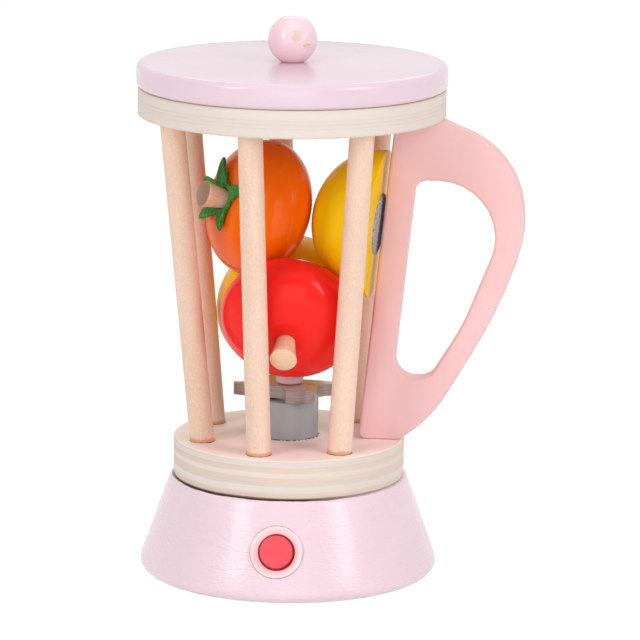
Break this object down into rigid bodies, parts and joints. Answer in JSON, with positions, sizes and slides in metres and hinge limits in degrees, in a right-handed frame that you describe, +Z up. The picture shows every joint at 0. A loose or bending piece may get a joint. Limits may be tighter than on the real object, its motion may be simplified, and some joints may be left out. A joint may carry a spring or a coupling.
{
  "type": "toy blender",
  "caption": "Wooden toy blender: turned base with a push button, dowel cage jug with a flat handle, turning blade, loose lid and play fruit.",
  "frame": {"origin": "centre of the base's flat underside, on the vertical axis of the base, jug and lid", "axes": "+Z up; -Y is the front, where the button is; +X points along the flat handle"},
  "size_m": [0.1582, 0.126, 0.2285],
  "materials": {
    "base_paint": "pale pink gloss paint on turned wood",
    "bezel_paint": "pale warm pink satin paint",
    "button_paint": "coral red gloss paint",
    "spring_steel": "bright wire",
    "plywood": "sanded plywood with layered edges, clear satin",
    "beech": "sanded pale hardwood, clear satin",
    "handle_paint": "salmon pink satin paint",
    "grey_paint": "grey satin paint",
    "blade_paint": "grey gloss paint on plywood",
    "steel": "plain steel",
    "cap_paint": "pale pink satin paint",
    "lid_paint": "pale pink gloss paint",
    "orange_paint": "orange gloss paint",
    "red_paint": "red gloss paint",
    "yellow_paint": "yellow gloss paint",
    "green_felt": "pressed felt, cut edges",
    "patch_cloth": "hook and loop cloth",
    "stem_wood": "bare pale hardwood"
  },
  "bodies": {
    "base": {"base_block": "base_paint", "button_bezel": "bezel_paint", "button_spring": "spring_steel"},
    "button": {"button": "button_paint"},
    "jug": {"jug_floor": "plywood", "jug_peg": "beech", "dowel_1": "beech", "dowel_2": "beech", "dowel_3": "beech", "dowel_4": "beech", "dowel_5": "beech", "dowel_6": "beech", "top_ring": "plywood", "handle": "handle_paint", "handle_pins": "beech", "blade_post": "grey_paint", "blade_washer": "steel", "blade_pin": "steel", "blade_cap": "cap_paint"},
    "blade": {"blade": "blade_paint"},
    "lid": {"lid_disc": "lid_paint", "lid_plug": "plywood", "lid_knob": "lid_paint", "knob_screw": "steel"},
    "red_fruit": {"red_fruit": "red_paint", "red_stem": "stem_wood"},
    "yellow_back": {"yellow_half_back": "yellow_paint", "loop_patch": "patch_cloth"},
    "orange_fruit": {"orange_fruit": "orange_paint", "orange_leaf": "green_felt", "orange_stem": "stem_wood"},
    "yellow_front": {"yellow_half_front": "yellow_paint", "hook_patch": "patch_cloth"}
  },
  "joints": [
    {"name": "button_press", "type": "slide", "parent": "base", "child": "button", "axis": [0, 0.9439, -0.3304], "range_m": [0, 0.0028], "stiffness_N_per_m": 200, "springref_m": -0.002, "deforming": ["button_spring"]},
    {"name": "jug_lift", "type": "slide", "parent": "base", "child": "jug", "axis": [0, 0, 1], "range_m": [0, 0.12]},
    {"name": "blade_spin", "type": "hinge", "parent": "jug", "child": "blade", "pos_m": [0, 0, 0.075], "axis": [0, 0, 1], "continuous": true},
    {"name": "lid_lift", "type": "slide", "parent": "jug", "child": "lid", "axis": [0, 0, 1], "range_m": [0, 0.1]},
    {"name": "red_fruit_lift", "type": "slide", "parent": "jug", "child": "red_fruit", "axis": [0, 0, 1], "range_m": [0, 0.005]},
    {"name": "yellow_back_lift", "type": "slide", "parent": "jug", "child": "yellow_back", "axis": [0, 0, 1], "range_m": [0, 0.005]},
    {"name": "orange_fruit_lift", "type": "slide", "parent": "red_fruit", "child": "orange_fruit", "axis": [0, 0, 1], "range_m": [0, 0.012]},
    {"name": "yellow_front_lift", "type": "slide", "parent": "red_fruit", "child": "yellow_front", "axis": [0.1009, 0, 0.9949], "range_m": [0, 0.008]}
  ],
  "couplings": [
    {"joint": "yellow_back_lift", "follows": "red_fruit_lift", "ratio": 1}
  ]
}
